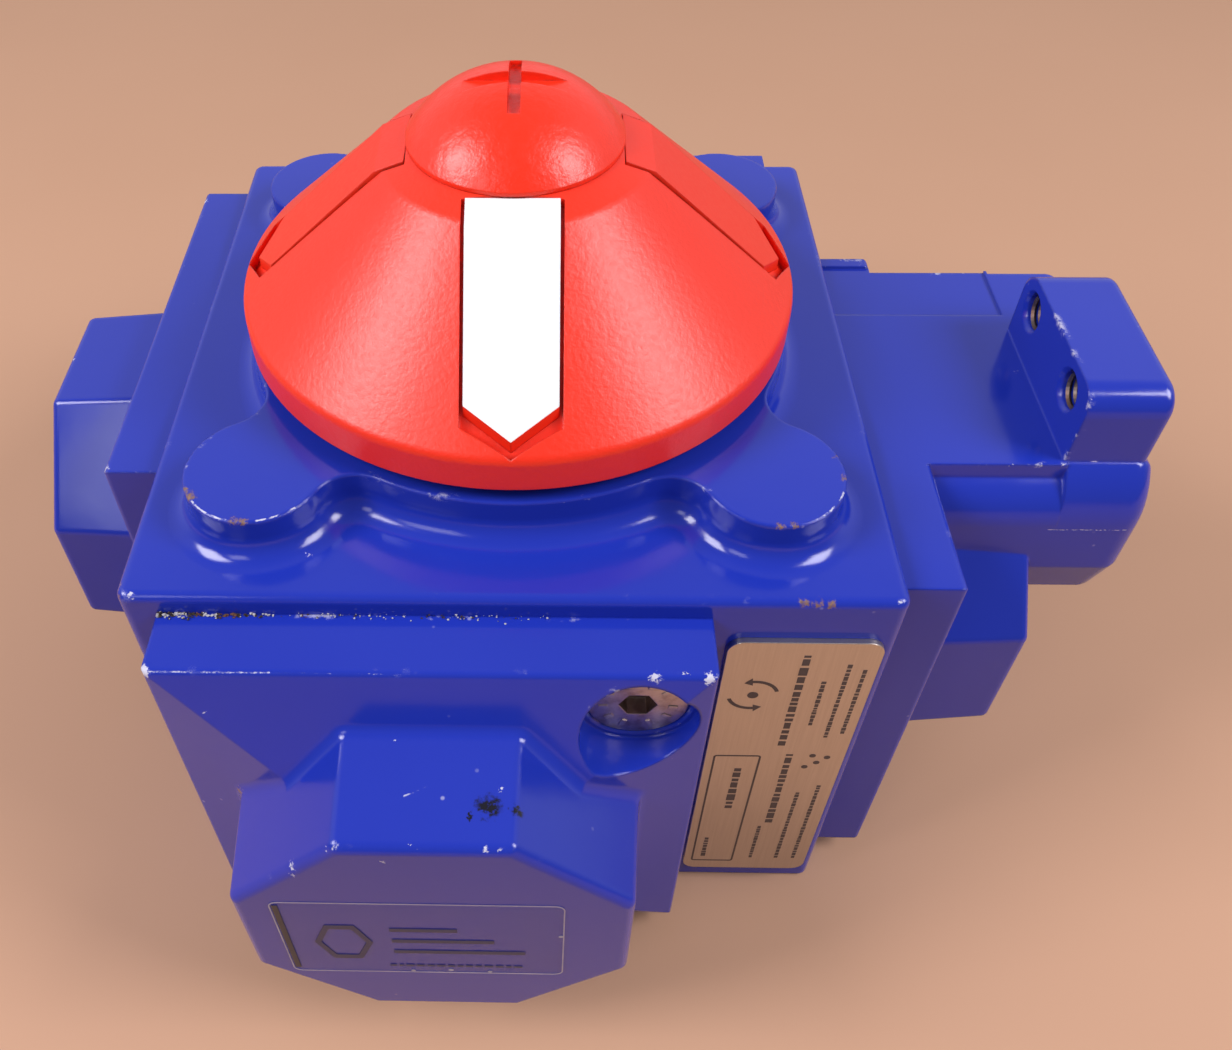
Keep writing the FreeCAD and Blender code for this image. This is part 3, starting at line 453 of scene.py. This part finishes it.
def prism(mesh_data, outline, near, far):
    """Closed prism between two y planes over an (x, z) outline, in millimetres."""
    rings = [[mesh_data.verts.new((x * MM, y * MM, z * MM)) for x, z in outline] for y in (near, far)]
    mesh_data.faces.new(rings[1])
    mesh_data.faces.new(list(reversed(rings[0])))
    for index in range(len(outline)):
        after = (index + 1) % len(outline)
        mesh_data.faces.new((rings[0][index], rings[0][after], rings[1][after], rings[1][index]))


def bar(mesh_data, start, end, width, near, far):
    """Straight bar between two (x, z) points."""
    run = (Vector(end) - Vector(start)).normalized()
    across = Vector((-run.y, run.x)) * width / 2
    start, end = Vector(start), Vector(end)
    prism(mesh_data, (start - across, end - across, end + across, start + across), near, far)


def rounded(low, high, corner, inset=0.0):
    """Points of a rounded rectangle in the (x, z) plane."""
    steps = 6
    points = []
    centers = [(high[0] - corner, high[1] - corner), (low[0] + corner, high[1] - corner),
               (low[0] + corner, low[1] + corner), (high[0] - corner, low[1] + corner)]
    for quadrant, (x, z) in enumerate(centers):
        for step in range(steps + 1):
            angle = math.pi / 2 * (quadrant + step / steps)
            reach = corner - inset
            points.append((x + reach * math.cos(angle), z + reach * math.sin(angle)))
    return points


def frame_ring(mesh_data, outer, inner, near, far):
    """Flat frame between two outlines with equal numbers of points."""
    count = len(outer)
    loops = [[mesh_data.verts.new((x * MM, y * MM, z * MM)) for x, z in outline]
             for y, outline in ((near, outer), (far, outer), (far, inner), (near, inner))]
    for index in range(count):
        after = (index + 1) % count
        for loop, following in zip(loops, loops[1:] + loops[:1]):
            mesh_data.faces.new((loop[index], loop[after], following[after], following[index]))


def polar(center, radius, angle):
    """Point at an angle about a centre, in the (x, z) plane."""
    return center[0] + radius * math.cos(angle), center[1] + radius * math.sin(angle)


def arc(center, radius, start, end, steps=24):
    """Points along an arc, both ends included."""
    return [polar(center, radius, start + (end - start) * step / steps) for step in range(steps + 1)]


def disc(center, radius, count):
    """Points of a circle with this many corners."""
    last = count - 1
    return arc(center, radius, 0, 2 * math.pi * last / count, last)


# nameplate print: ruled box, rows of dashes and a quarter-turn sign, none of it lettering
plate_face = -46.8
print_face = plate_face - 0.03
sink = plate_face + 0.05


def dashes(mesh_data, x, low, high, tall):
    """Row of short marks up the plate."""
    shortest = 0.4
    z = low
    while z < high - shortest:
        length = min(dice.uniform(0.5, 1.5) * tall, high - z)
        bar(mesh_data, (x, z), (x, z + length), tall * dice.uniform(0.75, 1.0), print_face, sink)
        z += length + dice.uniform(0.28, 0.5) * tall


# rows of dashes: x, lowest z, highest z, width of the row
printed = bmesh.new()
print_rows = [(35.4, 41.8, 62.8, 1.1), (36.9, 19.7, 39.5, 1.1), (35.8, 8.0, 18.6, 0.6), (38.3, 47.0, 57.3, 0.6),
              (39.7, 8.0, 29.0, 0.6), (40.8, 44.0, 61.0, 0.6), (42.3, 8.0, 31.0, 0.6), (42.8, 45.0, 60.0, 0.6),
              (30.5, 24.0, 36.0, 1.2), (28.5, 8.3, 15.0, 0.7)]
for x, low, high, tall in print_rows:
    dashes(printed, x, low, high, tall)
box_low, box_high, box_corner, box_line = (26.8, 6.7), (33.2, 39.1), 0.5, 0.28
frame_ring(printed, rounded(box_low, box_high, box_corner), rounded(box_low, box_high, box_corner, box_line),
           print_face, sink)


# quarter-turn sign: two arrows round a dot, its sizes in millimetres and angles in radians
sign_center, sign_radius = (30.0, 54.0), 3.0
sign_half_line, head_half_width, head_length = 0.25, 0.8, 0.35
for start, end in ((0.3, 1.7), (3.44, 4.84)):
    outer = arc(sign_center, sign_radius + sign_half_line, start, end)
    inner = arc(sign_center, sign_radius - sign_half_line, start, end)
    prism(printed, outer + inner[::-1], print_face, sink)
    tip = polar(sign_center, sign_radius, end + head_length)
    wide = polar(sign_center, sign_radius + head_half_width, end)
    narrow = polar(sign_center, sign_radius - head_half_width, end)
    prism(printed, (wide, tip, narrow), print_face, sink)
prism(printed, disc(sign_center, 0.7, 24), print_face, sink)
for dot in ((39.4, 36.2), (40.8, 37.4), (42.0, 38.8), (40.0, 39.2)):
    prism(printed, disc(dot, 0.45, 12), print_face, sink)
piece("nameplate_print", printed, ink("print_ink", (0.030, 0.022, 0.022)))


# clear label on the front boss: film, its pale cut edge, a dark bar and a plain sign
boss_face = -70.7
film_face = boss_face - 0.09
mark_near, mark_far = film_face - 0.015, film_face + 0.02
label_low, label_high, label_corner = (-28.2, 25.0), (6.6, 46.6), 1.2
label_outline = rounded(label_low, label_high, label_corner)
film = bmesh.new()
prism(film, label_outline, film_face, boss_face + 0.05)
film_look = clear_film("label_film", (0.20, 0.20, 0.36), (0.12, 0.13, 0.30), 0.05, 0.14)
label_sheet = piece("label_sheet", film, film_look)
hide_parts("cover_label")

# the cut edge, and pale flecks under the film: x, z, radius
edging = bmesh.new()
edge_width = 0.16
frame_ring(edging, label_outline, rounded(label_low, label_high, label_corner, edge_width), mark_near, mark_far)
for x, z, radius in ((-12.7, 25.6, 0.3), (-7.8, 26.0, 0.35), (-2.8, 25.6, 0.3), (6.2, 37.6, 0.3)):
    prism(edging, disc((x, z), radius, 10), mark_near, mark_far)
edge_look = clear_film("label_cut_edge", (0.62, 0.62, 0.74), (0.30, 0.30, 0.50), 0.35, 0.9)
piece("label_edge", edging, edge_look)
strip = bmesh.new()
bar(strip, (-27.5, 45.6), (-27.5, 26.2), 0.7, mark_near, mark_far)
piece("label_bar", strip, ink("bar_ink", (0.012, 0.012, 0.018)))


def hexagon(center, wide, high):
    """Six points, the first and fourth level with the centre."""
    points = []
    for corner in range(6):
        angle = math.pi / 3 * corner
        points.append((center[0] + wide * math.cos(angle), center[1] + high * math.sin(angle)))
    return points


emblem = bmesh.new()
emblem_center = (-20.6, 34.8)
frame_ring(emblem, hexagon(emblem_center, 3.6, 6.0), hexagon(emblem_center, 2.8, 4.7), mark_near, mark_far)
rows_left, row_width = -14.6, 0.9
for right, z in ((1.8, 32.0), (-2.0, 35.4), (-6.4, 38.8)):
    bar(emblem, (rows_left, z), (right, z), row_width, mark_near, mark_far)
x, dots_right, dots_height, dots_width, dots_gap = -15.5, 1.0, 27.4, 0.5, 0.35
while x < dots_right:
    length = dice.uniform(0.5, 1.1)
    bar(emblem, (x, dots_height), (x + length, dots_height), dots_width, mark_near, mark_far)
    x += length + dots_gap
piece("label_emblem", emblem, ink("emblem_ink", (0.012, 0.014, 0.05)))


# corrosion grains along the joint over the front cover
seam = bmesh.new()
grain_count, seam_left, seam_length, crowding = 300, -41.3, 46.0, 2.6
coarse_until, fine_share = -27, 0.6
block_face, cover_top = -46.0, 69.0
for _ in range(grain_count):
    x = seam_left + seam_length * dice.random() ** crowding
    size = dice.uniform(0.05, 0.21) * (1.0 if x < coarse_until else fine_share)
    y = block_face - abs(dice.gauss(0, 0.32))
    z = cover_top + abs(dice.gauss(0, 0.16))
    made = bmesh.ops.create_icosphere(seam, subdivisions=1, radius=size * MM)
    stretch = Vector((dice.uniform(0.7, 1.7), dice.uniform(0.7, 1.3), dice.uniform(0.5, 1.0)))
    for vert in made["verts"]:
        knock = 1.0 + dice.uniform(-0.22, 0.22)
        vert.co = Vector((vert.co.x * stretch.x, vert.co.y * stretch.y, vert.co.z * stretch.z)) * knock
        vert.co += Vector((x, y, z)) * MM
crust_dark = [(-36.8, -46.3, 69.1, 1.3), (-32.5, -46.3, 69.1, 2.0), (-29.5, -46.3, 69.1, 0.9),
              (-24.0, -46.3, 69.1, 0.8)]
piece("seam_crust", seam, crust("seam_crust", crust_dark))


# raised ticks around the heads of the cover screws, set out in the front cover's (x, z) plane
head_face = -52.4
plain_heads, manifold_heads = ((15, 60.5), (-33, 12.5)), ((-33, 60.5), (15, 12.5))
tick_count, tick_inner, tick_outer, tick_width, tick_jitter = 10, 3.6, 4.7, 0.6, 0.15
marks = bmesh.new()
for turns, heads in enumerate((plain_heads, manifold_heads, plain_heads, plain_heads)):
    begun = len(marks.verts)
    for head in heads:
        for tick in range(tick_count):
            around = 2 * math.pi * (tick + dice.uniform(-tick_jitter, tick_jitter)) / tick_count
            outward = Vector((math.cos(around), math.sin(around)))
            bar(marks, Vector(head) + outward * tick_inner, Vector(head) + outward * tick_outer, tick_width,
                head_face - 0.1, head_face + 0.05)
    marks.verts.ensure_lookup_table()
    bmesh.ops.rotate(marks, verts=marks.verts[begun:], cent=(0, 0, 0),
                     matrix=Matrix.Rotation(math.pi / 2 * turns, 3, "Z"))
mark_look = turned_metal("mark_steel", (0.66, 0.60, 0.56), (0.50, 0.43, 0.39), 0.4, "Z", brown=0.3)
piece("screw_marks", marks, mark_look)


# ---- threads, as ridges wound on the hole walls ----

def thread(mesh_data, mouth, inward, radius, pitch, depth):
    """Ridge wound inside a hole, from just under its mouth to just above its floor."""
    per_turn, mouth_gap, end_gap = 28, 0.6, 1.5
    crest_height, crest_half, foot_half, foot_sink = 0.32, 0.06, 0.42, 0.05
    inward = Vector(inward)
    first = inward.orthogonal().normalized()
    second = inward.cross(first)
    turns = (depth - pitch * end_gap) / pitch
    rows = []
    for step in range(int(turns * per_turn) + 1):
        angle = 2 * math.pi * step / per_turn
        outward = first * math.cos(angle) + second * math.sin(angle)
        along = Vector(mouth) + inward * (mouth_gap * pitch + pitch * step / per_turn)
        fade = min(1.0, step / per_turn * 2)
        crest, foot = radius - crest_height * pitch * fade, radius + foot_sink
        profile = ((-foot_half, foot), (-crest_half, crest), (crest_half, crest), (foot_half, foot))
        rows.append([mesh_data.verts.new((along + inward * shift * pitch + outward * reach) * MM)
                     for shift, reach in profile])
    for before, after in zip(rows, rows[1:]):
        for side in range(len(before) - 1):
            mesh_data.faces.new((before[side], before[side + 1], after[side + 1], after[side]))


lug_threads = bmesh.new()
for y in (-14.0, 2.0):
    thread(lug_threads, (71.6, y, 75.8), (1, 0, 0), 2.5, 1.0, 9.0)
port_threads = bmesh.new()
for y in (-15.0, 9.0):
    thread(port_threads, (84.0, y, 56.0), (-1, 0, 0), 5.9, 1.337, 12.6)
base_threads = bmesh.new()
wide_reach, narrow_reach = 25, 21
for index in range(4):
    straight = math.pi / 2 * index
    slanted = math.pi / 4 + straight
    thread(base_threads, (wide_reach * math.cos(slanted), wide_reach * math.sin(slanted), 0), (0, 0, 1),
           2.5, 1.0, 11.0)
    thread(base_threads, (narrow_reach * math.cos(straight), narrow_reach * math.sin(straight), 0), (0, 0, 1),
           2.1, 0.8, 9.0)
cut_metal = turned_metal("thread_metal", (0.50, 0.50, 0.55), (0.26, 0.26, 0.30), 0.38, "Z")
dull_metal = turned_metal("dull_thread_metal", (0.20, 0.17, 0.16), (0.07, 0.055, 0.05), 0.45, "X", brown=0.6)
piece("lug_threads", lug_threads, dull_metal)
piece("port_threads", port_threads, cut_metal)
piece("base_threads", base_threads, cut_metal)


# ---- floor, light and camera ----

def plane(name, size, material):
    """Level square about the origin."""
    mesh = bpy.data.meshes.new(name)
    half = size / 2
    corners = [(-half, -half, 0), (half, -half, 0), (half, half, 0), (-half, half, 0)]
    mesh.from_pydata(corners, [], [(0, 1, 2, 3)])
    mesh.materials.append(material)
    made = bpy.data.objects.new(name, mesh)
    bpy.context.scene.collection.objects.link(made)
    return made


def floor_material():
    """Pale tan paper, a little cloudy."""
    material, tree, shader, place = start_material("floor_paper")
    cloudy = noise(tree, place, 9.0, 3.0)
    tree.links.new(mix_color(tree, cloudy, (0.50, 0.285, 0.175, 1), (0.54, 0.315, 0.20, 1)),
                   shader.inputs["Base Color"])
    shader.inputs["Roughness"].default_value = 0.75
    return material


plane("floor", 6.0, floor_material())


lamp_tint = (1.0, 0.96, 1.0)
aim = Vector((0, 0, 0.07))


def softbox(name, azimuth, elevation, distance, width, height, power):
    """Area light aimed at the object. Azimuth 0 is in front (-Y), 90 on the +X side."""
    light = bpy.data.lights.new(name, "AREA")
    light.shape = "RECTANGLE"
    light.size = width
    light.size_y = height
    light.energy = power
    light.color = lamp_tint
    made = bpy.data.objects.new(name, light)
    around, up = math.radians(azimuth), math.radians(elevation)
    back = Vector((math.sin(around) * math.cos(up), -math.cos(around) * math.cos(up), math.sin(up)))
    made.location = aim + back * distance
    made.rotation_mode = "QUATERNION"
    made.rotation_quaternion = back.to_track_quat("Z", "Y")
    bpy.context.scene.collection.objects.link(made)


softbox("softbox_left", -72, 41, 0.75, 0.30, 0.34, 4.6)
softbox("softbox_right", 71, 41, 0.75, 0.30, 0.34, 4.3)
softbox("softbox_front", -34, 38, 0.77, 0.24, 0.20, 0.52)

# room light: dim in front of the object, brighter behind it, and brightest low down behind it
world = bpy.data.worlds.new("studio")
world.use_nodes = True
sky = world.node_tree
background = sky.nodes["Background"]
background.inputs["Color"].default_value = (0.86, 0.83, 0.86, 1)
direction = add(sky, "SeparateXYZ", {0: add(sky, "TexCoord").outputs["Generated"]})
low_band = ramp(sky, direction.outputs["Z"], 0.80, 0.70)
behind = ramp(sky, direction.outputs["Y"], -0.4, 0.5)
glow = math_node(sky, "MULTIPLY", low_band, behind)
room_front, room_behind, room_glow = 0.20, 0.42, 0.85
room = mix_number(sky, behind, room_front, room_behind)
sky.links.new(mix_number(sky, glow, room, room_glow), background.inputs["Strength"])
bpy.context.scene.world = world
bpy.context.scene.view_settings.view_transform = "Standard"

# camera: picture size, focal length and picture centre in pixels, place in millimetres, angles in degrees
image_width, image_height = 1232, 1050
focal_pixels = 1138.9
center_x, center_y = 521.6, 466.8
camera_elevation, camera_yaw, camera_roll = (math.radians(a) for a in (46.588, -1.829, -0.933))
camera_place = Vector((4.05, -124.4, 177.3)) * MM

look = Vector((math.sin(camera_yaw) * math.cos(camera_elevation),
               math.cos(camera_yaw) * math.cos(camera_elevation), -math.sin(camera_elevation)))
level = Vector((math.cos(camera_yaw), -math.sin(camera_yaw), 0))
upward = level.cross(look)
side_axis = math.cos(camera_roll) * level + math.sin(camera_roll) * upward
up_axis = -math.sin(camera_roll) * level + math.cos(camera_roll) * upward
camera_data = bpy.data.cameras.new("camera")
camera_data.sensor_width = 36.0
camera_data.lens = focal_pixels / image_width * camera_data.sensor_width
camera_data.shift_x = (image_width / 2 - center_x) / image_width
camera_data.shift_y = (center_y - image_height / 2) / image_width
camera_data.clip_start = 0.01
camera = bpy.data.objects.new("camera", camera_data)
turn = Matrix((side_axis, up_axis, -look)).transposed().to_4x4()
camera.matrix_world = Matrix.Translation(camera_place) @ turn
bpy.context.scene.collection.objects.link(camera)
bpy.context.scene.camera = camera
